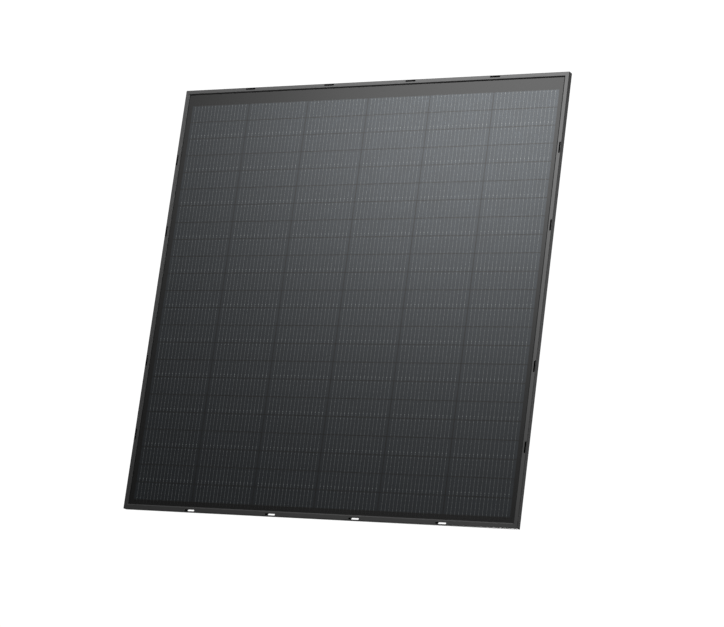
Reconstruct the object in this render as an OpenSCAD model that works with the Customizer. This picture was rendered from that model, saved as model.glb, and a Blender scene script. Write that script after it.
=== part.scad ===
// Framed solar panel: shingled rows of narrow solar cells between glass and a
// black backsheet, in a slim mitred aluminium frame with clip slots through its
// rim, and a flat junction box on the back.
//
// The panel lies on its back: +X runs along its width, +Y towards its top edge
// and +Z out of its front. The origin is at the middle of its rear face.

/* [Solar cells] */
// Width of one cell
cell_w = 182; // [156:1:210]
// Height of one cell, a quarter of a square wafer
cell_h = 45.5; // [39:0.5:52.5]
// Gap between two columns of cells
column_gap = 2.5; // [1.5:0.5:4]
// Gap between two rows of cells
row_gap = 2.3; // [1.5:0.1:4]
// Number of cells in one column
rows = 23; // [18:1:24]
// Number of wires that run down each column
wires = 16; // [9:1:16]

/* [Margins] */
// From the outer edge of the frame to the cells, left and right
side_margin = 25.25; // [22:0.25:40]
// From the outer edge of the frame to the cells, at the bottom
bottom_margin = 27.7; // [26:0.1:40]
// From the outer edge of the frame to the cells, at the top
top_margin = 45.2; // [44:0.1:60]

/* [Frame] */
// Depth of the frame, front to back
frame_d = 16; // [16:0.5:20]
// Thickness of the frame's walls
wall = 1.5; // [1.4:0.1:1.6]
// Width of the flat front face of the frame
face_w = 10; // [9:0.1:10.4]
// Width of the sloping inner edge of the front face
bevel_w = 2.8; // [2.4:0.1:3.4]
// Drop of the sloping inner edge
bevel_drop = 1.4; // [1:0.1:1.4]
// Radius of the front outer edge
edge_r = 0.8; // [0.6:0.1:1.4]
// Width of the flange round the back
flange_w = 22; // [20:1:22]

/* [Clip slots] */
// Length of a clip slot
slot_l = 30; // [20:1:40]
// Width of a clip slot in the front wall
slot_w = 4.4; // [4:0.1:4.8]
// Width of the slot behind it in the rear wall
rear_slot_w = 6.4; // [5:0.1:6.4]
// Distance from the frame's outer edge to the middle of a front slot
slot_inset = 3.75; // [3.7:0.05:4]
// Spacing of the four slots along the top and along the bottom
slot_pitch = 246; // [200:1:260]
// Spacing of the inner pair of slots along each side
side_slot_inner = 362; // [300:2:400]
// Spacing of the outer pair of slots along each side
side_slot_outer = 768; // [600:2:800]

/* [Rear holes] */
// Length of a mounting hole in the rear flange
mount_hole_l = 14; // [12:1:16]
// Width of a mounting hole in the rear flange
mount_hole_w = 9; // [7:0.5:9]
// Spacing of the two mounting holes along each side
mount_pitch = 600; // [500:10:700]
// Diameter of an earthing hole
earth_hole_d = 4.2; // [3.2:0.1:5]
// Spacing of the two earthing holes along the top and along the bottom
earth_pitch = 480; // [400:10:560]

/* [Junction box] */
// Width of the junction box
box_w = 150; // [130:2:170]
// Height of the junction box, along the panel
box_h = 64; // [60:1:80]
// Radius of the junction box's corners
box_r = 6; // [4:1:8]
// Opening angle of the junction box lid, 0 when closed
lid_angle = 0; // [0:5:110]
// Diameter of the cable hole through a gland
gland_bore_d = 4.6; // [4:0.1:4.8]

/* [Hidden] */

$fn = 48;
eps = 0.01;
// Overshoot of a cutting shape past the faces it cuts
cut = 1;

// The whole panel
columns = 6;
column_pitch = cell_w + column_gap;
row_pitch = cell_h + row_gap;
cells_w = columns * column_pitch - column_gap;
cells_h = rows * row_pitch - row_gap;
panel_w = cells_w + 2 * side_margin;
panel_h = cells_h + bottom_margin + top_margin;
cells_bottom = -panel_h / 2 + bottom_margin;
cells_top = cells_bottom + cells_h;

// Heights of the layers, from the back
thin_wall = 1.2;
front_wall = 1.6;
lip_t = 2.6;
cavity_top = frame_d - front_wall;
groove_top = frame_d - lip_t;
seal_front_t = 0.2;
seal_rear_t = 0.3;
seal_side_t = 0.6;
lip_seal_inset = 0.6;
glass_t = 2.2;
film_t = 0.5;
wire_t = 0.2;
cell_t = 0.2;
mask_t = 0.2;
sheet_t = 0.4;
glass_z = groove_top - seal_front_t - glass_t;
front_film_z = glass_z - film_t;
wire_z = front_film_z - wire_t;
cell_z = wire_z - cell_t;
rear_film_z = cell_z - film_t;
sheet_z = rear_film_z - sheet_t;
ledge_z = sheet_z - seal_rear_t - thin_wall;

// Distances inwards from the frame's outer edge
lip_w = face_w + bevel_w;
groove_wall = 6.8;
web = 8;
ledge_w = 14.5;
laminate_inset = groove_wall + thin_wall + seal_side_t;
rear_slot_inset = web - rear_slot_w / 2;

// Wires and the ribbons that they end on
wire_pitch = column_pitch / (wires + 1);
wire_w = 0.35;
ribbon_w = 6;
ribbon_gap = 3;
wire_end = ribbon_gap + ribbon_w;
top_ribbon_y = cells_top + ribbon_gap;
bottom_ribbon_y = cells_bottom - ribbon_gap - ribbon_w;
carry_gap = 2;
carry_y = top_ribbon_y + ribbon_w + carry_gap;

// Junction box: its rear parts hang below the backsheet
box_pad_t = 0.6;
box_floor_t = 1;
box_wall = 2;
lid_t = 1.2;
lid_z = 0.4;
lid_seal_t = 0.2;
lid_seal_inset = 0.5;
lid_seal_w = 1.2;
box_wall_z = lid_z + lid_t + lid_seal_t;
box_floor_z = sheet_z - box_pad_t - box_floor_t;
box_gap = 4.5;
box_pad_inset = 3;
box_y = panel_h / 2 - flange_w - box_gap - box_h / 2;
lead_w = 5;
lead_t = 0.4;
lead_slot = [8, 2];
mask_overhang = 1;
top_mask_h = 17;
inner_lead_y = top_ribbon_y + ribbon_w / 2;
outer_lead_y = carry_y + ribbon_w / 2;
leads = [[-48, outer_lead_y], [-16, inner_lead_y], [16, inner_lead_y], [48, outer_lead_y]];
terminal = [14, 12, 2.4];
terminal_z = box_floor_z - terminal[2];
terminal_y = inner_lead_y - 16;
terminal_bore_d = 3.2;
screw_d = 3;
screw_tip_gap = 0.2;
screw_head_d = 5.4;
screw_head_t = 1.2;
screw_drive = [0.8, 0.6];
diode = [13, 8, 2.6];
diode_leg = [1.2, 0.5];
diode_gap = 0.2;

// Junction box lid: its rim inside the walls and its two snap tabs
rim_clear = 0.3;
rim_t = 1.2;
rim_h = 0.9;
tab_w = 14;
tab_t = 1.4;
tab_h = 4;
tab_root = 1;

// Hinge of the junction box lid
hinge_r = 2.1;
hinge_pin_r = 1;
hinge_z = 2.4;
hinge_out = 2.4;
hinge_y = box_y - box_h / 2 - hinge_out;
hinge_fit = 0.05;
knuckle_l = 18;
base_knuckle_l = 6;
knuckle_gap = 0.3;
hinge_x = 40;
arm_z = 0.6;
arm_reach = 1;

// Cable glands, one at each end of the junction box
gland_z = 4.7;
gland_y = box_y - 10;
gland_r = 2.8;
gland_flange_r = 3.8;
gland_flange_t = 1.5;
gland_l = 9;
gland_inner_l = 0.2;
gland_fit = 0.05;
nut_flats = 7.6;
nut_l = 8;
nut_start = 3;
nut_cap_t = 1.2;
nut_fit = 0.1;
gland_seal_l = 1.2;

// Corner keys inside the rails
key_clear = 0.3;
key_arm = 46;
key_chamfer = 1.5;
key_notches = [16, 26, 36];
key_notch = [3, 1, 9];
key_notch_z = 1.5;

// Blank rating plate on the backsheet
plate = [90, 55];
plate_t = 0.2;
plate_r = 3;

alu_black = [0.17, 0.17, 0.18];
glass_dark = [0.35, 0.4, 0.45, 0.35];
cell_blue = [0.13, 0.14, 0.18];
tin = [0.62, 0.63, 0.66];
film_clear = [0.5, 0.52, 0.55, 0.4];
black = [0.08, 0.08, 0.085];
box_black = [0.12, 0.12, 0.125];
brass = [0.72, 0.6, 0.32];
steel = [0.7, 0.71, 0.73];

// ---------- shared shapes ----------

// Flat shape with straight sides and round ends, along X
module stadium(length, width) {
    square([length - width, width], center = true);
    for (side = [-1, 1])
        translate([side * (length - width) / 2, 0]) circle(d = width);
}

// Flat rectangle with round corners, about the origin
module rounded_rect(w, h, r) {
    square([w - 2 * r, h], center = true);
    square([w, h - 2 * r], center = true);
    for (sx = [-1, 1], sy = [-1, 1])
        translate([sx * (w / 2 - r), sy * (h / 2 - r)]) circle(r);
}

// Rectangular ring between two distances in from the panel's edge
module edge_ring(outer, inner, z, height) {
    translate([0, 0, z])
        linear_extrude(height)
            difference() {
                square([panel_w - 2 * outer, panel_h - 2 * outer], center = true);
                square([panel_w - 2 * inner, panel_h - 2 * inner], center = true);
            }
}

// One flat layer of the laminate
module laminate_sheet(z, thickness) {
    translate([0, 0, z + thickness / 2])
        cube([panel_w - 2 * laminate_inset, panel_h - 2 * laminate_inset, thickness], center = true);
}

// Openings in a layer where the four leads pass to the junction box
module lead_openings(z, thickness) {
    for (lead = leads)
        translate([lead[0], lead[1], z + thickness / 2])
            cube([lead_slot[0], lead_slot[1], thickness + 2 * cut], center = true);
}

// ---------- frame ----------

// Section of a frame rail: X is the distance in from the outer edge, Y the height
module rail_section() {
    difference() {
        polygon([
            [0, 0], [flange_w, 0], [flange_w, wall], [web + thin_wall, wall],
            [web + thin_wall, ledge_z], [ledge_w, ledge_z], [ledge_w, ledge_z + thin_wall],
            [web, ledge_z + thin_wall], [web, groove_top], [lip_w, groove_top],
            [lip_w, frame_d - bevel_drop], [face_w, frame_d], [0, frame_d]
        ]);
        polygon([
            [wall, wall], [web, wall], [web, ledge_z], [groove_wall, ledge_z],
            [groove_wall, cavity_top], [wall, cavity_top]
        ]);
        translate([0, frame_d - edge_r])
            difference() {
                translate([-cut, 0]) square([cut + edge_r, cut + edge_r]);
                translate([edge_r, 0]) circle(edge_r);
            }
    }
}

// Rail along X with mitred ends, its outer face at Y = 0 and its inside at +Y
module rail(length, slot_xs, mount_xs, earth_xs) {
    difference() {
        intersection() {
            rotate([90, 0, 90])
                linear_extrude(length, center = true) rail_section();
            translate([0, 0, -cut])
                linear_extrude(frame_d + 2 * cut)
                    polygon([
                        [-length / 2, 0], [length / 2, 0],
                        [length / 2 - 2 * flange_w, 2 * flange_w],
                        [-length / 2 + 2 * flange_w, 2 * flange_w]
                    ]);
        }
        for (x = slot_xs) {
            translate([x, slot_inset, frame_d / 2])
                linear_extrude(frame_d) stadium(slot_l, slot_w);
            translate([x, rear_slot_inset, -cut])
                linear_extrude(wall + 2 * cut) stadium(slot_l, rear_slot_w);
        }
        for (x = mount_xs)
            translate([x, (web + flange_w) / 2, -cut])
                linear_extrude(wall + 2 * cut) stadium(mount_hole_l, mount_hole_w);
        for (x = earth_xs)
            translate([x, (web + flange_w) / 2, -cut])
                cylinder(h = wall + 2 * cut, d = earth_hole_d);
    }
}

end_slot_xs = [for (i = [-1.5 : 1 : 1.5]) i * slot_pitch];
side_slot_xs = [-side_slot_outer / 2, -side_slot_inner / 2, side_slot_inner / 2, side_slot_outer / 2];
mount_xs = [-mount_pitch / 2, mount_pitch / 2];
earth_xs = [-earth_pitch / 2, earth_pitch / 2];

module end_rail() {
    translate([0, -panel_h / 2, 0]) rail(panel_w, end_slot_xs, [], earth_xs);
}

module side_rail() {
    rotate([0, 0, -90])
        translate([0, -panel_w / 2, 0]) rail(panel_h, side_slot_xs, mount_xs, []);
}

module frame_bottom() {
    color(alu_black) end_rail();
}

module frame_top() {
    color(alu_black) mirror([0, 1, 0]) end_rail();
}

module frame_left() {
    color(alu_black) side_rail();
}

module frame_right() {
    color(alu_black) mirror([1, 0, 0]) side_rail();
}

// L-shaped key that joins two rails, at the bottom left corner
module corner_key() {
    near = wall + key_clear;
    far = groove_wall - key_clear;
    tip = key_chamfer;
    color(steel)
        translate([-panel_w / 2, -panel_h / 2, near])
            difference() {
                linear_extrude(cavity_top - key_clear - near)
                    polygon([
                        [near, near], [key_arm - tip, near], [key_arm, near + tip], [key_arm, far - tip],
                        [key_arm - tip, far], [far, far], [far, key_arm - tip], [far - tip, key_arm],
                        [near + tip, key_arm], [near, key_arm - tip]
                    ]);
                for (d = key_notches) {
                    translate([d, near - key_notch[1], key_notch_z])
                        cube([key_notch[0], 2 * key_notch[1], key_notch[2]]);
                    translate([near - key_notch[1], d, key_notch_z])
                        cube([2 * key_notch[1], key_notch[0], key_notch[2]]);
                }
            }
}

module corner_key_at(mirror_x, mirror_y) {
    mirror([mirror_x, 0, 0]) mirror([0, mirror_y, 0]) corner_key();
}

module edge_seal() {
    color(black) {
        edge_ring(web, ledge_w, ledge_z + thin_wall, seal_rear_t);
        edge_ring(web, laminate_inset, sheet_z, groove_top - seal_front_t - sheet_z);
        edge_ring(web, lip_w + lip_seal_inset, groove_top - seal_front_t, seal_front_t);
    }
}

// ---------- laminate ----------

module front_glass() {
    color(glass_dark) laminate_sheet(glass_z, glass_t);
}

module front_encapsulant() {
    color(film_clear)
        difference() {
            laminate_sheet(front_film_z, film_t);
            bus_mask_shapes();
        }
}

module rear_encapsulant() {
    color(film_clear)
        difference() {
            laminate_sheet(rear_film_z, film_t);
            lead_openings(rear_film_z, film_t);
        }
}

module backsheet() {
    color(black)
        difference() {
            laminate_sheet(sheet_z, sheet_t);
            lead_openings(sheet_z, sheet_t);
        }
}

// Left edge of a column of cells, counted from 1
function column_x(i) = -cells_w / 2 + (i - 1) * column_pitch;

module cell_string(i) {
    color(cell_blue)
        for (row = [0 : rows - 1])
            translate([column_x(i), cells_bottom + row * row_pitch, cell_z])
                cube([cell_w, cell_h, cell_t]);
}

module string_wires(i) {
    first_x = column_x(i) + (cell_w - (wires - 1) * wire_pitch - wire_w) / 2;
    color(tin)
        for (k = [0 : wires - 1])
            translate([first_x + k * wire_pitch, cells_bottom - wire_end, wire_z])
                cube([wire_w, cells_h + 2 * wire_end, wire_t]);
}

// One ribbon, from a column's left end to another column's right end
module ribbon(first, last, y) {
    inset = 4;
    translate([column_x(first) + inset, y, cell_z])
        cube([column_x(last) + cell_w - inset - column_x(first) - inset, ribbon_w, cell_t]);
}

module bottom_bus_ribbons() {
    color(tin)
        for (pair = [1, 3, 5]) ribbon(pair, pair + 1, bottom_ribbon_y);
}

module top_bus_ribbons() {
    color(tin) {
        ribbon(1, 1, top_ribbon_y);
        ribbon(2, 3, top_ribbon_y);
        ribbon(4, 5, top_ribbon_y);
        ribbon(6, 6, top_ribbon_y);
        carry_over();
    }
}

// Ribbons from the outer columns to the middle, above the first row of ribbons
module carry_over() {
    start_x = column_x(1) + 20;
    for (side = [0, 1])
        mirror([side, 0, 0]) {
            translate([start_x, carry_y, cell_z])
                cube([leads[0][0] + lead_w / 2 - start_x, ribbon_w, cell_t]);
            translate([start_x, top_ribbon_y + ribbon_w - eps, cell_z])
                cube([ribbon_w, carry_gap + 2 * eps, cell_t]);
        }
}

// Strips of black film in front of the ribbons
module bus_mask_shapes() {
    translate([-cells_w / 2, cells_top + mask_overhang, front_film_z])
        cube([cells_w, top_mask_h, mask_t]);
    translate([-cells_w / 2, cells_bottom - mask_overhang - wire_end, front_film_z])
        cube([cells_w, wire_end, mask_t]);
}

module bus_mask_strips() {
    color(black) bus_mask_shapes();
}

// ---------- junction box ----------

module box_outline(inset) {
    translate([0, box_y]) rounded_rect(box_w - 2 * inset, box_h - 2 * inset, box_r - inset);
}

// Leads from the ribbons, through the backsheet and onto the terminals
module box_leads() {
    color(tin)
        for (lead = leads) {
            tail = lead[1] - terminal_y + terminal[1] / 2;
            translate([lead[0], lead[1], 0])
                difference() {
                    union() {
                        translate([-lead_w / 2, -lead_t / 2, terminal_z - lead_t])
                            cube([lead_w, lead_t, cell_z - terminal_z + lead_t]);
                        translate([-lead_w / 2, lead_t / 2 - tail, terminal_z - lead_t])
                            cube([lead_w, tail, lead_t]);
                    }
                    translate([0, terminal_y - lead[1], terminal_z - lead_t - cut])
                        cylinder(h = lead_t + 2 * cut, d = terminal_bore_d);
                }
        }
}

module box_pad() {
    color(black)
        difference() {
            translate([0, 0, sheet_z - box_pad_t])
                linear_extrude(box_pad_t) box_outline(box_pad_inset);
            lead_openings(sheet_z - box_pad_t, box_pad_t);
        }
}

// Hinge knuckle along X; hinge_bore() makes its hole
module knuckle(x, length) {
    translate([x, hinge_y, hinge_z])
        rotate([0, 90, 0]) cylinder(h = length, r = hinge_r, center = true);
}

module hinge_bore() {
    translate([0, hinge_y, hinge_z])
        rotate([0, 90, 0]) cylinder(h = box_w, r = hinge_pin_r + hinge_fit, center = true);
}

module box_base() {
    color(box_black)
        difference() {
            union() {
                translate([0, 0, box_floor_z])
                    linear_extrude(box_floor_t) box_outline(0);
                translate([0, 0, box_wall_z])
                    linear_extrude(box_floor_z - box_wall_z + eps)
                        difference() {
                            box_outline(0);
                            box_outline(box_wall);
                        }
                for (side = [-1, 1], end = [-1, 1]) {
                    x = side * hinge_x + end * (knuckle_l / 2 + knuckle_gap + base_knuckle_l / 2);
                    knuckle(x, base_knuckle_l);
                    translate([x - base_knuckle_l / 2, hinge_y, hinge_z + arm_z])
                        cube([base_knuckle_l, hinge_out + arm_reach, hinge_r - arm_z]);
                }
            }
            lead_openings(box_floor_z, box_floor_t);
            hinge_bore();
            for (side = [-1, 1])
                translate([side * box_w / 2, gland_y, gland_z])
                    rotate([0, 90, 0]) cylinder(h = 4 * box_wall, r = gland_r + gland_fit, center = true);
        }
}

module box_lid_closed() {
    rim_out = box_wall + rim_clear;
    difference() {
        union() {
            translate([0, 0, lid_z])
                linear_extrude(lid_t) box_outline(0);
            translate([0, 0, lid_z + lid_t - eps])
                linear_extrude(rim_h + eps)
                    difference() {
                        box_outline(rim_out);
                        box_outline(rim_out + rim_t);
                    }
            for (side = [-1, 1]) {
                knuckle(side * hinge_x, knuckle_l);
                translate([side * hinge_x - knuckle_l / 2, hinge_y, lid_z])
                    cube([knuckle_l, hinge_out + tab_root, lid_t]);
                translate([side * hinge_x - tab_w / 2, box_y + box_h / 2 + rim_clear, lid_z])
                    cube([tab_w, tab_t, tab_h]);
                translate([side * hinge_x - tab_w / 2, box_y + box_h / 2 - tab_root, lid_z])
                    cube([tab_w, tab_root + rim_clear + tab_t, lid_t]);
            }
        }
        hinge_bore();
    }
}

module box_lid() {
    color(box_black)
        translate([0, hinge_y, hinge_z])
            rotate([-lid_angle, 0, 0])
                translate([0, -hinge_y, -hinge_z]) box_lid_closed();
}

module box_lid_seal() {
    color(black)
        translate([0, 0, box_wall_z - lid_seal_t])
            linear_extrude(lid_seal_t)
                difference() {
                    box_outline(lid_seal_inset);
                    box_outline(lid_seal_inset + lid_seal_w);
                }
}

module box_hinge_pin() {
    pin_l = 2 * hinge_x + knuckle_l + 2 * (knuckle_gap + base_knuckle_l);
    color(steel)
        translate([0, hinge_y, hinge_z])
            rotate([0, 90, 0]) cylinder(h = pin_l, r = hinge_pin_r, center = true);
}

module box_terminals() {
    color(brass)
        for (lead = leads)
            translate([lead[0], terminal_y, terminal_z])
                difference() {
                    translate([-terminal[0] / 2, -terminal[1] / 2, 0]) cube(terminal);
                    translate([0, 0, -cut]) cylinder(h = terminal[2] + 2 * cut, d = terminal_bore_d);
                }
}

module box_terminal_screws() {
    color(steel)
        for (lead = leads)
            translate([lead[0], terminal_y, terminal_z - lead_t])
                difference() {
                    union() {
                        cylinder(h = lead_t + terminal[2] - screw_tip_gap, d = screw_d);
                        translate([0, 0, -screw_head_t]) cylinder(h = screw_head_t, d = screw_head_d);
                    }
                    translate([-screw_head_d, -screw_drive[0] / 2, -screw_head_t - cut])
                        cube([2 * screw_head_d, screw_drive[0], cut + screw_drive[1]]);
                }
}

module bypass_diodes() {
    leg = (leads[1][0] - leads[0][0] - terminal[0]) / 2;
    diode_z = box_floor_z - diode_gap - diode[2] / 2;
    color(black)
        for (i = [0 : 2])
            translate([(leads[i][0] + leads[i + 1][0]) / 2, terminal_y, diode_z]) {
                cube(diode, center = true);
                for (side = [-1, 1])
                    translate([side * leg / 2, 0, 0])
                        cube([leg, diode_leg[0], diode_leg[1]], center = true);
            }
}

// Repeats a gland part, drawn along +X from the box's wall, at both ends
module at_both_glands() {
    for (side = [0, 1])
        mirror([side, 0, 0])
            translate([box_w / 2, gland_y, gland_z])
                rotate([0, 90, 0]) children();
}

module gland_bodies() {
    color(box_black)
        at_both_glands()
            difference() {
                union() {
                    translate([0, 0, -box_wall - gland_inner_l])
                        cylinder(h = box_wall + gland_inner_l + gland_l, r = gland_r);
                    cylinder(h = gland_flange_t, r = gland_flange_r);
                }
                translate([0, 0, -box_wall - gland_inner_l - cut])
                    cylinder(h = box_wall + gland_inner_l + gland_l + 2 * cut, d = gland_bore_d);
            }
}

module gland_nuts() {
    color(box_black)
        at_both_glands()
            translate([0, 0, nut_start])
                difference() {
                    rotate([0, 0, 30]) cylinder(h = nut_l + gland_seal_l, r = nut_flats / sqrt(3), $fn = 6);
                    translate([0, 0, -cut])
                        cylinder(h = nut_l + gland_seal_l - nut_cap_t + cut, r = gland_r + nut_fit);
                    cylinder(h = nut_l + gland_seal_l + cut, d = gland_bore_d);
                }
}

module gland_seals() {
    color(black)
        at_both_glands()
            translate([0, 0, gland_l])
                difference() {
                    cylinder(h = nut_start + nut_l + gland_seal_l - nut_cap_t - gland_l, r = gland_r);
                    translate([0, 0, -cut]) cylinder(h = gland_l, d = gland_bore_d);
                }
}

module rating_plate() {
    color([0.75, 0.76, 0.78])
        translate([0, box_y - box_h / 2 - 2 * plate[1], sheet_z - plate_t])
            linear_extrude(plate_t) rounded_rect(plate[0], plate[1], plate_r);
}

// ---------- nodes ----------

frame_top();
frame_bottom();
frame_left();
frame_right();
corner_key_at(0, 1);  // corner_key_top_left
corner_key_at(1, 1);  // corner_key_top_right
corner_key_at(0, 0);  // corner_key_bottom_left
corner_key_at(1, 0);  // corner_key_bottom_right
edge_seal();
front_glass();
front_encapsulant();
rear_encapsulant();
backsheet();
cell_string(1);  // cell_string_1
cell_string(2);  // cell_string_2
cell_string(3);  // cell_string_3
cell_string(4);  // cell_string_4
cell_string(5);  // cell_string_5
cell_string(6);  // cell_string_6
string_wires(1);  // string_wires_1
string_wires(2);  // string_wires_2
string_wires(3);  // string_wires_3
string_wires(4);  // string_wires_4
string_wires(5);  // string_wires_5
string_wires(6);  // string_wires_6
top_bus_ribbons();
bottom_bus_ribbons();
bus_mask_strips();
box_leads();
box_pad();
box_base();
box_lid();
box_lid_seal();
box_hinge_pin();
box_terminals();
box_terminal_screws();
bypass_diodes();
gland_bodies();
gland_nuts();
gland_seals();
rating_plate();
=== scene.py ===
"""Looks of the framed solar panel, built round its CAD frame.

Metres, in the CAD's own frame: +X along the panel's width, +Y towards its top
edge and +Z out of its glass. The panel lies on its back.
"""
import math

import bmesh
import bpy
from mathutils import Matrix, Vector


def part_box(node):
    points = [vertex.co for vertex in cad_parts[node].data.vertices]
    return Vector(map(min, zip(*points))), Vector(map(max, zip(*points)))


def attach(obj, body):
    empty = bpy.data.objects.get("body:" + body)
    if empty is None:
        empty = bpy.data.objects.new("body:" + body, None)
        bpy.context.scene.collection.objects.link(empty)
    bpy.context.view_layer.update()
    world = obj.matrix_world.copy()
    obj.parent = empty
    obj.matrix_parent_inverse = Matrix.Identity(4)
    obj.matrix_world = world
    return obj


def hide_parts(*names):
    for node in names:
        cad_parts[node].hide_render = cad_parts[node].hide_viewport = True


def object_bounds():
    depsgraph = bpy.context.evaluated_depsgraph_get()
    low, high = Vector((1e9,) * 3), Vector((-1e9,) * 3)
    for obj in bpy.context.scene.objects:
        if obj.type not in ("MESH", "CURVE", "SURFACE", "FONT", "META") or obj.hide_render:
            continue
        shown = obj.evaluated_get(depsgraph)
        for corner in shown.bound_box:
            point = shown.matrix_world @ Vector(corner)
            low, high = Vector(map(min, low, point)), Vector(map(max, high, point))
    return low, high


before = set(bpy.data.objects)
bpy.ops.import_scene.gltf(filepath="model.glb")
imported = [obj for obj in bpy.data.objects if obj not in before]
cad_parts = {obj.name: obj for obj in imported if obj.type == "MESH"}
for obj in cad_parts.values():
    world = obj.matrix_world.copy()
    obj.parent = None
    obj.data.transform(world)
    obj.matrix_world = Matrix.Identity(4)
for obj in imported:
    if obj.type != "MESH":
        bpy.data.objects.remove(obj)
CAD_BOX = [list(corner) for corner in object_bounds()]
MM = 0.001

# ---------- the view ----------

VIEW_AZIMUTH = math.radians(65.52)
VIEW_ELEVATION = math.radians(57.56)
VIEW_ROLL = math.radians(-61.47)
VIEW_AIM = Vector((0.0696, -0.0488, 0.016))
VIEW_DISTANCE = 6.189
VIEW_LENS_MM = 119.77
SENSOR_WIDTH_MM = 36.0
VIEW_REACH = 100.0


def direction(azimuth, elevation):
    """Unit vector from the panel, for an azimuth that is 0 towards -Y and 90 degrees towards +X."""
    return Vector((
        math.sin(azimuth) * math.cos(elevation),
        -math.cos(azimuth) * math.cos(elevation),
        math.sin(elevation),
    ))


def make_camera():
    data = bpy.data.cameras.new("camera")
    data.lens = VIEW_LENS_MM
    data.sensor_width = SENSOR_WIDTH_MM
    data.clip_end = VIEW_REACH
    camera = bpy.data.objects.new("camera", data)
    back = direction(VIEW_AZIMUTH, VIEW_ELEVATION)
    camera.rotation_mode = "QUATERNION"
    level = (-back).to_track_quat("-Z", "Y").to_matrix()
    camera.rotation_quaternion = (level @ Matrix.Rotation(VIEW_ROLL, 3, "Z")).to_quaternion()
    camera.location = VIEW_AIM + back * VIEW_DISTANCE
    bpy.context.scene.collection.objects.link(camera)
    bpy.context.scene.camera = camera


# ---------- node helpers ----------

def new_material(name):
    """An empty node material with its output, and a function that adds nodes to it."""
    material = bpy.data.materials.new(name)
    material.use_nodes = True
    tree = material.node_tree
    tree.nodes.clear()

    def add(kind, links=(), **settings):
        node = tree.nodes.new(kind)
        for key, value in settings.items():
            setattr(node, key, value)
        for socket, source in dict(links).items():
            tree.links.new(source, node.inputs[socket])
        return node

    output = add("ShaderNodeOutputMaterial")
    return material, add, output, tree


# Nearly all of a noise texture's values lie between these
NOISE_SPAN = (0.3, 0.7)


def colour_ramp(add, source, low, high, start, end):
    """Blends between two colours as source goes from start to end."""
    ramp = add("ShaderNodeValToRGB", {"Fac": source})
    ramp.color_ramp.elements[0].position = start
    ramp.color_ramp.elements[0].color = (*low, 1.0)
    ramp.color_ramp.elements[1].position = end
    ramp.color_ramp.elements[1].color = (*high, 1.0)
    return ramp.outputs["Color"]


def value_range(add, source, low, high, start, end):
    """Maps source from start..end to low..high."""
    node = add("ShaderNodeMapRange", {"Value": source})
    node.inputs["From Min"].default_value = start
    node.inputs["From Max"].default_value = end
    node.inputs["To Min"].default_value = low
    node.inputs["To Max"].default_value = high
    return node.outputs["Result"]


def strayed(add, source, middle, spread):
    """A value that strays from its middle with a noise, over the whole spread."""
    return value_range(add, source, middle - spread / 2, middle + spread / 2, *NOISE_SPAN)


def noise(add, position, scale, detail):
    node = add("ShaderNodeTexNoise", {"Vector": position})
    node.inputs["Scale"].default_value = scale
    node.inputs["Detail"].default_value = detail
    return node.outputs["Fac"]


def stretched(add, position, scale):
    node = add("ShaderNodeMapping", {"Vector": position})
    node.inputs["Scale"].default_value = scale
    return node.outputs["Vector"]


def object_position(add):
    return add("ShaderNodeTexCoord").outputs["Object"]


# ---------- materials ----------

# The depths from a rail's outer edge and the heights over which its surface
# goes from the anodised outside to the painted shade inside the hollow rail
RAIL_OUTER_WALL = (0.8 * MM, 1.2 * MM)
RAIL_INNER_WALL = (8.4 * MM, 8.8 * MM)
RAIL_FRONT_WALL = (15.6 * MM, 15.9 * MM)
RAIL_REAR_WALL = (0.4 * MM, 0.8 * MM)
# The heights over which a clear layer's surface comes to meet air
GLASS_FRONT = (12.9 * MM, 13.1 * MM)
# The silver fingers across a cell: their spacing, and the share of it that is silver
FINGER_PITCH = 1.35 * MM
FINGER_SHARE = 0.05
# How much the roughness varies over the grain
METAL_SPREAD = 0.08
MATT_SPREAD = 0.1
GLASS_SPREAD = 0.02
METAL_GRAIN = 900


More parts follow.
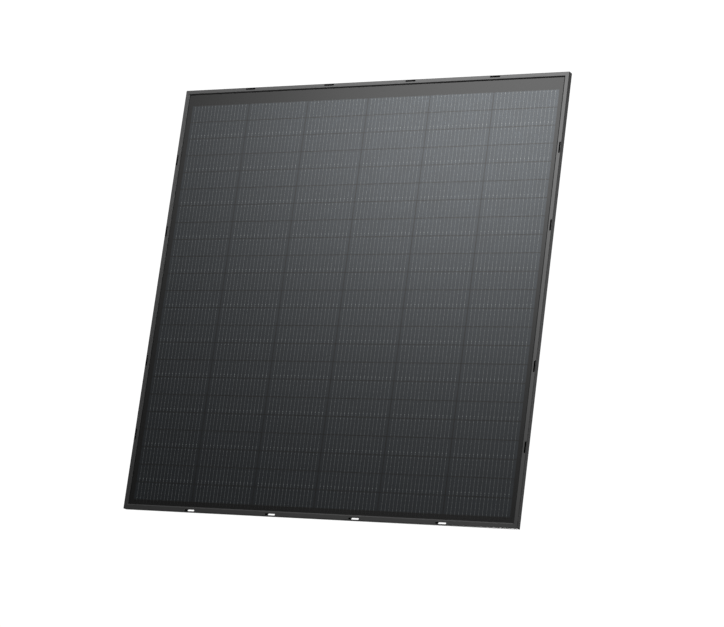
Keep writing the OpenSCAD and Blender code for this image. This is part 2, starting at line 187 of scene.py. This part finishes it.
def anodised(name, along):
    """Black anodised aluminium with fine extrusion lines along X or Y, and painted shade inside the hollow
    rail.
    """
    material, add, output, tree = new_material(name)
    place = object_position(add)
    lines = noise(add, stretched(add, place, (1, 60, 60) if along == "X" else (60, 1, 60)), 40, 3)
    grain = noise(add, place, 2200, 2)
    cloud = noise(add, place, 7, 3)
    split = add("ShaderNodeSeparateXYZ", {"Vector": place})
    across = "Y" if along == "X" else "X"
    half = CAD_BOX[1][1 if along == "X" else 0]
    from_middle = add("ShaderNodeMath", {0: split.outputs[across]}, operation="ABSOLUTE").outputs[0]
    outer = value_range(add, from_middle, 1, 0, half - RAIL_OUTER_WALL[1], half - RAIL_OUTER_WALL[0])
    inner = value_range(add, from_middle, 0, 1, half - RAIL_INNER_WALL[1], half - RAIL_INNER_WALL[0])
    below = value_range(add, split.outputs["Z"], 1, 0, *RAIL_FRONT_WALL)
    above = value_range(add, split.outputs["Z"], 0, 1, *RAIL_REAR_WALL)
    # Mask of the rail's hollow inside, where shade is painted
    inside = outer
    for part in (inner, below, above):
        inside = add("ShaderNodeMath", {0: inside, 1: part}, operation="MULTIPLY").outputs[0]
    shader = add("ShaderNodeBsdfPrincipled")
    shader.inputs["IOR"].default_value = 1.92
    oxide = colour_ramp(add, cloud, (0.004, 0.004, 0.0042), (0.006, 0.006, 0.0062), *NOISE_SPAN)
    tree.links.new(oxide, shader.inputs["Base Color"])
    tree.links.new(value_range(add, lines, 0.43, 0.48, *NOISE_SPAN), shader.inputs["Roughness"])
    bump = add("ShaderNodeBump", {"Height": grain})
    bump.inputs["Strength"].default_value = 0.12
    bump.inputs["Distance"].default_value = 0.04 * MM
    ridges = add("ShaderNodeBump", {"Height": lines, "Normal": bump.outputs["Normal"]})
    ridges.inputs["Strength"].default_value = 0.1
    ridges.inputs["Distance"].default_value = 0.03 * MM
    tree.links.new(ridges.outputs["Normal"], shader.inputs["Normal"])
    # Painted shade: a flat near-black diffuse stands in for the shade inside the hollow rail
    plain_diffuse = add("ShaderNodeBsdfDiffuse")
    plain_diffuse.inputs["Color"].default_value = (0.004, 0.004, 0.004, 1)
    mix = add("ShaderNodeMixShader", {0: inside, 1: shader.outputs["BSDF"], 2: plain_diffuse.outputs["BSDF"]})
    tree.links.new(mix.outputs["Shader"], output.inputs["Surface"])
    return material


def clear_layer(name, ior, roughness, tint, ripple):
    """Clear film or glass, with a stippled gloss only on the face that meets air."""
    material, add, output, tree = new_material(name)
    place = object_position(add)
    stipple = noise(add, place, 900, 2)
    gloss = add("ShaderNodeBsdfPrincipled")
    gloss.inputs["Base Color"].default_value = (1, 1, 1, 1)
    gloss.inputs["Metallic"].default_value = 1.0
    tree.links.new(strayed(add, stipple, roughness, GLASS_SPREAD), gloss.inputs["Roughness"])
    bump = add("ShaderNodeBump", {"Height": stipple})
    bump.inputs["Strength"].default_value = ripple
    bump.inputs["Distance"].default_value = 0.05 * MM
    tree.links.new(bump.outputs["Normal"], gloss.inputs["Normal"])
    clear = add("ShaderNodeBsdfTransparent")
    clear.inputs["Color"].default_value = (*tint, 1)
    fresnel = add("ShaderNodeFresnel")
    fresnel.inputs["IOR"].default_value = ior
    split = add("ShaderNodeSeparateXYZ", {"Vector": place})
    in_air = value_range(add, split.outputs["Z"], 0, 1, *GLASS_FRONT)
    from_within = add("ShaderNodeNewGeometry").outputs["Backfacing"]
    outside = add("ShaderNodeMath", {1: from_within}, operation="SUBTRACT")
    outside.inputs[0].default_value = 1.0
    on_top = add("ShaderNodeMath", {0: in_air, 1: outside.outputs[0]}, operation="MULTIPLY")
    shine = add("ShaderNodeMath", {0: fresnel.outputs["Fac"], 1: on_top.outputs[0]},
                operation="MULTIPLY")
    mix = add("ShaderNodeMixShader", {
        0: shine.outputs[0],
        1: clear.outputs["BSDF"],
        2: gloss.outputs["BSDF"],
    })
    tree.links.new(mix.outputs["Shader"], output.inputs["Surface"])
    return material


def solar_cell():
    """Dark blue-grey silicon with fine silver fingers across it, each cell a little different."""
    material, add, output, tree = new_material("solar_cell_blue")
    place = object_position(add)
    split = add("ShaderNodeSeparateXYZ", {"Vector": place})
    island = add("ShaderNodeNewGeometry").outputs["Random Per Island"]
    cloud = noise(add, place, 22, 3)
    tone = add("ShaderNodeMath", {0: island, 1: cloud}, operation="ADD")
    silicon = colour_ramp(add, value_range(add, tone.outputs[0], 0, 1, 0, 2),
                          (0.0014, 0.0026, 0.0042), (0.0024, 0.0040, 0.0060), 0.2, 0.8)
    count = add("ShaderNodeMath", {0: split.outputs["Y"]}, operation="MULTIPLY")
    count.inputs[1].default_value = 1 / FINGER_PITCH
    part = add("ShaderNodeMath", {0: count.outputs[0]}, operation="FRACT")
    finger = add("ShaderNodeMath", {0: part.outputs[0]}, operation="LESS_THAN")
    finger.inputs[1].default_value = FINGER_SHARE
    blend = add("ShaderNodeMix", {"Factor": finger.outputs[0]}, data_type="RGBA")
    tree.links.new(silicon, blend.inputs["A"])
    blend.inputs["B"].default_value = (0.045, 0.048, 0.055, 1)
    shader = add("ShaderNodeBsdfPrincipled")
    shader.inputs["IOR"].default_value = 1.36
    shader.inputs["Specular Tint"].default_value = (0.63, 0.78, 1.0, 1)
    tree.links.new(blend.outputs["Result"], shader.inputs["Base Color"])
    tree.links.new(value_range(add, cloud, 0.365, 0.405, *NOISE_SPAN), shader.inputs["Roughness"])
    tree.links.new(shader.outputs["BSDF"], output.inputs["Surface"])
    return material


def metal(name, colour, roughness):
    """Bare or plated metal with a fine grain."""
    material, add, output, tree = new_material(name)
    place = object_position(add)
    grain = noise(add, place, METAL_GRAIN, 3)
    shader = add("ShaderNodeBsdfPrincipled")
    shader.inputs["Metallic"].default_value = 1.0
    dark = tuple(c * 0.82 for c in colour)
    tree.links.new(colour_ramp(add, grain, dark, colour, *NOISE_SPAN), shader.inputs["Base Color"])
    tree.links.new(value_range(add, grain, roughness, roughness + METAL_SPREAD, *NOISE_SPAN),
                   shader.inputs["Roughness"])
    tree.links.new(shader.outputs["BSDF"], output.inputs["Surface"])
    return material


def matt(name, colour, roughness, grain_scale, bump_mm, ior=1.45):
    """Plastic, film, rubber, sealant or tinned ribbon with a fine grain."""
    material, add, output, tree = new_material(name)
    place = object_position(add)
    grain = noise(add, place, grain_scale, 3)
    cloud = noise(add, place, 14, 3)
    shader = add("ShaderNodeBsdfPrincipled")
    shader.inputs["IOR"].default_value = ior
    light = tuple(c * 1.25 for c in colour)
    tree.links.new(colour_ramp(add, cloud, colour, light, *NOISE_SPAN), shader.inputs["Base Color"])
    tree.links.new(strayed(add, grain, roughness, MATT_SPREAD), shader.inputs["Roughness"])
    bump = add("ShaderNodeBump", {"Height": grain})
    bump.inputs["Strength"].default_value = 0.5
    bump.inputs["Distance"].default_value = bump_mm * MM
    tree.links.new(bump.outputs["Normal"], shader.inputs["Normal"])
    tree.links.new(shader.outputs["BSDF"], output.inputs["Surface"])
    return material


def backsheet_look():
    """Black sheet: dark towards the cells, and satin behind, where the cells show as a faint relief."""
    material, add, output, tree = new_material("backsheet_black")
    place = object_position(add)
    split = add("ShaderNodeSeparateXYZ", {"Vector": place})
    grain = noise(add, place, 700, 3)
    cloud = noise(add, place, 5, 3)
    relief = None
    for axis, start, pitch, gap in (("X", string_low.x, COLUMN_PITCH, COLUMN_PITCH - CELL_W),
                                    ("Y", string_low.y, ROW_PITCH, ROW_GAP)):
        # Along each axis the relief rises over two gaps' width, stays level, and falls before the next gap
        step = value_range(add, split.outputs[axis], 0, COLUMNS * ROWS,
                           start, start + COLUMNS * ROWS * pitch)
        part = add("ShaderNodeMath", {0: step}, operation="FRACT").outputs[0]
        rise = value_range(add, part, 0, 1, 0, 2 * gap / pitch)
        fall = value_range(add, part, 1, 0, 1 - 3 * gap / pitch, 1 - gap / pitch)
        flat = add("ShaderNodeMath", {0: rise, 1: fall}, operation="MULTIPLY").outputs[0]
        relief = flat if relief is None else add("ShaderNodeMath", {0: relief, 1: flat},
                                                 operation="MULTIPLY").outputs[0]
    rear = add("ShaderNodeBsdfPrincipled")
    tree.links.new(colour_ramp(add, cloud, (0.020, 0.020, 0.021), (0.027, 0.027, 0.028), *NOISE_SPAN),
                   rear.inputs["Base Color"])
    tree.links.new(value_range(add, grain, 0.40, 0.52, *NOISE_SPAN), rear.inputs["Roughness"])
    fine = add("ShaderNodeBump", {"Height": grain})
    fine.inputs["Strength"].default_value = 0.25
    fine.inputs["Distance"].default_value = 0.03 * MM
    bump = add("ShaderNodeBump", {"Height": relief, "Normal": fine.outputs["Normal"]})
    bump.inputs["Strength"].default_value = 0.6
    bump.inputs["Distance"].default_value = 0.2 * MM
    tree.links.new(bump.outputs["Normal"], rear.inputs["Normal"])
    front = add("ShaderNodeBsdfPrincipled")
    front.inputs["IOR"].default_value = 1.08
    tree.links.new(colour_ramp(add, cloud, (0.004, 0.004, 0.004), (0.005, 0.005, 0.005), *NOISE_SPAN),
                   front.inputs["Base Color"])
    front.inputs["Roughness"].default_value = 0.5
    facing_rear = value_range(add, split.outputs["Z"], 1, 0,
                              SHEET_MIDDLE - SHEET_BLEND, SHEET_MIDDLE + SHEET_BLEND)
    mix = add("ShaderNodeMixShader", {
        0: facing_rear,
        1: front.outputs["BSDF"],
        2: rear.outputs["BSDF"],
    })
    tree.links.new(mix.outputs["Shader"], output.inputs["Surface"])
    return material


# ---------- mesh helpers ----------

def make_object(name, bm, material):
    mesh = bpy.data.meshes.new(name)
    bm.to_mesh(mesh)
    bm.free()
    mesh.materials.append(material)
    piece = bpy.data.objects.new(name, mesh)
    bpy.context.scene.collection.objects.link(piece)
    return piece


def add_plate(bm, outline, z_low, z_high):
    """A flat closed plate with this outline, points running anticlockwise."""
    low = [bm.verts.new((x, y, z_low)) for x, y in outline]
    high = [bm.verts.new((x, y, z_high)) for x, y in outline]
    bm.faces.new(high)
    bm.faces.new(low[::-1])
    for i in range(len(outline)):
        j = (i + 1) % len(outline)
        bm.faces.new((low[i], low[j], high[j], high[i]))


def chamfered(x, y, w, h, c):
    """Outline of a rectangle centred on x, y with its corners cut by c."""
    a, b = w / 2, h / 2
    return [(x - a + c, y - b), (x + a - c, y - b), (x + a, y - b + c), (x + a, y + b - c),
            (x + a - c, y + b), (x - a + c, y + b), (x - a, y + b - c), (x - a, y - b + c)]


# ---------- sizes read from the frame ----------

COLUMNS = 6
ROWS = 23
WIRES = 16
string_low, string_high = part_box("cell_string_1")
next_low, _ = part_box("cell_string_2")
CELL_W = string_high.x - string_low.x
COLUMN_PITCH = next_low.x - string_low.x
ROW_GAP = 2.3 * MM
ROW_PITCH = (string_high.y - string_low.y + ROW_GAP) / ROWS
CELL_H = ROW_PITCH - ROW_GAP
CELL_CORNER = 0.7 * MM
first_wires_low, first_wires_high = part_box("string_wires_1")
WIRE_W = 0.35 * MM
WIRE_PITCH = (first_wires_high.x - first_wires_low.x - WIRE_W) / (WIRES - 1)
# How far the painted shade on a wire reaches onto the cell before the gap between two rows
WIRE_SHADE_LEAD = 0.4 * MM
sheet_low, sheet_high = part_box("backsheet")
SHEET_MIDDLE = (sheet_low.z + sheet_high.z) / 2
SHEET_BLEND = 0.05 * MM


def build_cells(column, material):
    """The cells of one column, each a thin plate with clipped corners."""
    bm = bmesh.new()
    low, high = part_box(f"cell_string_{column}")
    middle = (low.x + high.x) / 2
    for row in range(ROWS):
        y = low.y + row * ROW_PITCH + CELL_H / 2
        add_plate(bm, chamfered(middle, y, CELL_W, CELL_H, CELL_CORNER), low.z, high.z)
    piece = make_object(f"cells_column_{column}", bm, material)
    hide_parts(f"cell_string_{column}")
    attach(piece, "panel")


PAIR = 2 * ROW_PITCH
# Solder pads on each wire: place as a share of a pair of rows, width and length in millimetres
PADS = (
    (0.040, 1.3, 1.7), (0.165, 1.1, 1.2), (0.290, 1.1, 1.2), (0.438, 1.1, 1.2),
    (0.583, 1.1, 1.2), (0.727, 1.1, 1.2), (0.893, 1.7, 2.2), (0.943, 1.2, 1.2),
)
PAD_CORNER = 0.25 * MM
# How far a pad reaches below and above the front of its wire
PAD_DEPTH = 0.05 * MM
PAD_RISE = 0.03 * MM


def build_pads(column, material):
    """The small solder pads that hold the wires of one column."""
    bm = bmesh.new()
    low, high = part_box(f"cell_string_{column}")
    wires_low, wires_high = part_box(f"string_wires_{column}")
    for wire in range(WIRES):
        x = wires_low.x + WIRE_W / 2 + wire * WIRE_PITCH
        for pair in range((ROWS + 1) // 2):
            top = high.y - pair * PAIR
            for place, width, length in PADS:
                y = top - place * PAIR
                if y > low.y:
                    add_plate(bm, chamfered(x, y, width * MM, length * MM, PAD_CORNER),
                              wires_high.z - PAD_DEPTH, wires_high.z + PAD_RISE)
    piece = make_object(f"solder_pads_{column}", bm, material)
    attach(piece, "panel")


def wire_look():
    """Tinned wire, with painted shade where it crosses the gap between two rows of cells."""
    material, add, output, tree = new_material("tinned_wire")
    place = object_position(add)
    split = add("ShaderNodeSeparateXYZ", {"Vector": place})
    row = value_range(add, split.outputs["Y"], 0, ROWS, string_low.y, string_low.y + ROWS * ROW_PITCH)
    part = add("ShaderNodeMath", {0: row}, operation="FRACT").outputs[0]
    gap = add("ShaderNodeMath", {0: part}, operation="GREATER_THAN")
    gap.inputs[1].default_value = (CELL_H - WIRE_SHADE_LEAD) / ROW_PITCH
    grain = noise(add, place, 900, 3)
    bright = colour_ramp(add, grain, (0.21, 0.22, 0.235), (0.275, 0.285, 0.30), *NOISE_SPAN)
    # Painted shade: the wire turns near-black over the gap between two rows
    blend = add("ShaderNodeMix", {"Factor": gap.outputs[0]}, data_type="RGBA")
    tree.links.new(bright, blend.inputs["A"])
    blend.inputs["B"].default_value = (0.01, 0.01, 0.01, 1)
    shader = add("ShaderNodeBsdfPrincipled")
    shader.inputs["IOR"].default_value = 2.25
    tree.links.new(blend.outputs["Result"], shader.inputs["Base Color"])
    tree.links.new(value_range(add, grain, 0.38, 0.46, *NOISE_SPAN), shader.inputs["Roughness"])
    tree.links.new(shader.outputs["BSDF"], output.inputs["Surface"])
    return material


# ---------- the carried-over nodes ----------

WELD_REACH = 0.01 * MM
MOULDED_EDGE = 0.3 * MM
SHARP_ANGLE = math.radians(30)


def soften(node):
    """Rounds a moulded CAD node's sharp edges slightly."""
    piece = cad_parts[node]
    weld = piece.modifiers.new("weld", "WELD")
    weld.merge_threshold = WELD_REACH
    bevel = piece.modifiers.new("bevel", "BEVEL")
    bevel.width = MOULDED_EDGE
    bevel.segments = 2
    bevel.limit_method = "ANGLE"
    bevel.angle_limit = SHARP_ANGLE


def paint(node, material):
    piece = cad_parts[node]
    piece.data.materials.clear()
    piece.data.materials.append(material)


def finish_nodes():
    """Gives every CAD node its material and adds the cells and their solder pads."""
    rail_x = anodised("anodised_black_x", "X")
    rail_y = anodised("anodised_black_y", "Y")
    tin = matt("tinned_ribbon", (0.26, 0.27, 0.285), 0.42, 900, 0.005, ior=2.1)
    film = matt("mask_film_black", (0.004, 0.004, 0.004), 0.5, 1500, 0.01, ior=1.08)
    plastic = matt("box_plastic_black", (0.022, 0.022, 0.023), 0.42, 1300, 0.04)
    rubber = matt("seal_rubber_black", (0.010, 0.010, 0.010), 0.6, 700, 0.03)
    steel = metal("zinc_plated_steel", (0.55, 0.56, 0.58), 0.3)
    looks = {
        "frame_top": rail_x,
        "frame_bottom": rail_x,
        "frame_left": rail_y,
        "frame_right": rail_y,
        "edge_seal": matt("sealant_black", (0.006, 0.006, 0.0062), 0.45, 400, 0.05),
        "front_glass": clear_layer("solar_glass_stippled", 1.515, 0.385, (0.97, 0.98, 0.975), 0.03),
        "front_encapsulant": clear_layer("encapsulant_front", 1.03, 0.4, (0.99, 0.99, 0.985), 0.02),
        "rear_encapsulant": clear_layer("encapsulant_rear", 1.03, 0.4, (0.99, 0.99, 0.985), 0.02),
        "backsheet": backsheet_look(),
        "top_bus_ribbons": tin,
        "bottom_bus_ribbons": tin,
        "bus_mask_strips": film,
        "box_leads": tin,
        "box_pad": rubber,
        "box_base": plastic,
        "box_lid": plastic,
        "box_lid_seal": rubber,
        "box_hinge_pin": steel,
        "box_terminals": metal("terminal_brass", (0.62, 0.47, 0.22), 0.28),
        "box_terminal_screws": steel,
        "bypass_diodes": matt("diode_body_black", (0.012, 0.012, 0.012), 0.35, 1800, 0.01),
        "gland_bodies": plastic,
        "gland_nuts": plastic,
        "gland_seals": rubber,
        "rating_plate": matt("blank_foil", (0.30, 0.305, 0.315), 0.42, 600, 0.01),
    }
    wire = wire_look()
    for column in range(1, COLUMNS + 1):
        looks[f"string_wires_{column}"] = wire
    for side in ("top_left", "top_right", "bottom_left", "bottom_right"):
        looks[f"corner_key_{side}"] = metal(f"key_aluminium_{side}", (0.6, 0.61, 0.63), 0.35)
    for node, material in looks.items():
        paint(node, material)
    for node in ("box_base", "box_lid", "gland_nuts", "gland_bodies"):
        soften(node)
    cell = solar_cell()
    for column in range(1, COLUMNS + 1):
        build_cells(column, cell)
        build_pads(column, tin)


# ---------- studio ----------

FLOOR_DROP = 2.5
FLOOR_HALF = 40.0
FLOOR_GREY = 0.8
FLOOR_GLOW = 1.05
ROOM_GREY = 0.08
# Name, place, aim, width and height in metres, and power in watts
LIGHTS = (
    ("key", (-0.933, 2.129, 3.5), (0.2, 0.2, 0), 2.5, 0.813, 78),
    ("low_side", (2.1, 0.6, -1.7), (0.6, 0.0, 0), 1.5, 1.5, 4.2),
    ("rear", (0.2, -0.9, -2.2), (0, 0.2, 0), 1.2, 1.2, 40),
)


def soft_box(name, place, aim, width, height, power):
    """A rectangular soft light that the camera doesn't see."""
    data = bpy.data.lights.new(name, "AREA")
    data.shape = "RECTANGLE"
    data.size = width
    data.size_y = height
    data.energy = power
    light = bpy.data.objects.new(name, data)
    light.location = place
    light.rotation_mode = "QUATERNION"
    light.rotation_quaternion = (Vector(aim) - Vector(place)).to_track_quat("-Z", "Y")
    light.visible_camera = False
    bpy.context.scene.collection.objects.link(light)


def build_world():
    """A white background for the camera and a dim grey room for everything else."""
    scene = bpy.context.scene
    scene.view_settings.view_transform = "Standard"
    world = bpy.data.worlds.new("studio")
    world.use_nodes = True
    scene.world = world
    tree = world.node_tree
    tree.nodes.clear()
    output = tree.nodes.new("ShaderNodeOutputWorld")
    mix = tree.nodes.new("ShaderNodeMixShader")
    room = tree.nodes.new("ShaderNodeBackground")
    room.inputs["Color"].default_value = (ROOM_GREY, ROOM_GREY, ROOM_GREY, 1)
    seen = tree.nodes.new("ShaderNodeBackground")
    seen.inputs["Color"].default_value = (1, 1, 1, 1)
    path = tree.nodes.new("ShaderNodeLightPath")
    tree.links.new(path.outputs["Is Camera Ray"], mix.inputs[0])
    tree.links.new(room.outputs["Background"], mix.inputs[1])
    tree.links.new(seen.outputs["Background"], mix.inputs[2])
    tree.links.new(mix.outputs["Shader"], output.inputs["Surface"])


def floor_look():
    """Pale paper, seen as white from above and see-through from below."""
    material, add, output, tree = new_material("pale_floor")
    plain_diffuse = add("ShaderNodeBsdfDiffuse")
    plain_diffuse.inputs["Color"].default_value = (FLOOR_GREY, FLOOR_GREY, FLOOR_GREY, 1)
    paper = add("ShaderNodeEmission")
    paper.inputs["Color"].default_value = (1, 1, 1, 1)
    paper.inputs["Strength"].default_value = FLOOR_GLOW
    path = add("ShaderNodeLightPath")
    both = add("ShaderNodeMixShader", {
        0: path.outputs["Is Camera Ray"],
        1: plain_diffuse.outputs["BSDF"],
        2: paper.outputs["Emission"],
    })
    from_below = add("ShaderNodeNewGeometry").outputs["Backfacing"]
    open_below = add("ShaderNodeBsdfTransparent")
    one_way = add("ShaderNodeMixShader", {
        0: from_below,
        1: both.outputs["Shader"],
        2: open_below.outputs["BSDF"],
    })
    tree.links.new(one_way.outputs["Shader"], output.inputs["Surface"])
    return material


def build_studio():
    build_world()
    bm = bmesh.new()
    corners = [bm.verts.new((x, y, -FLOOR_DROP)) for x, y in (
        (-FLOOR_HALF, -FLOOR_HALF), (FLOOR_HALF, -FLOOR_HALF),
        (FLOOR_HALF, FLOOR_HALF), (-FLOOR_HALF, FLOOR_HALF),
    )]
    bm.faces.new(corners)
    make_object("floor", bm, floor_look())
    for light in LIGHTS:
        soft_box(*light)


make_camera()
finish_nodes()
build_studio()
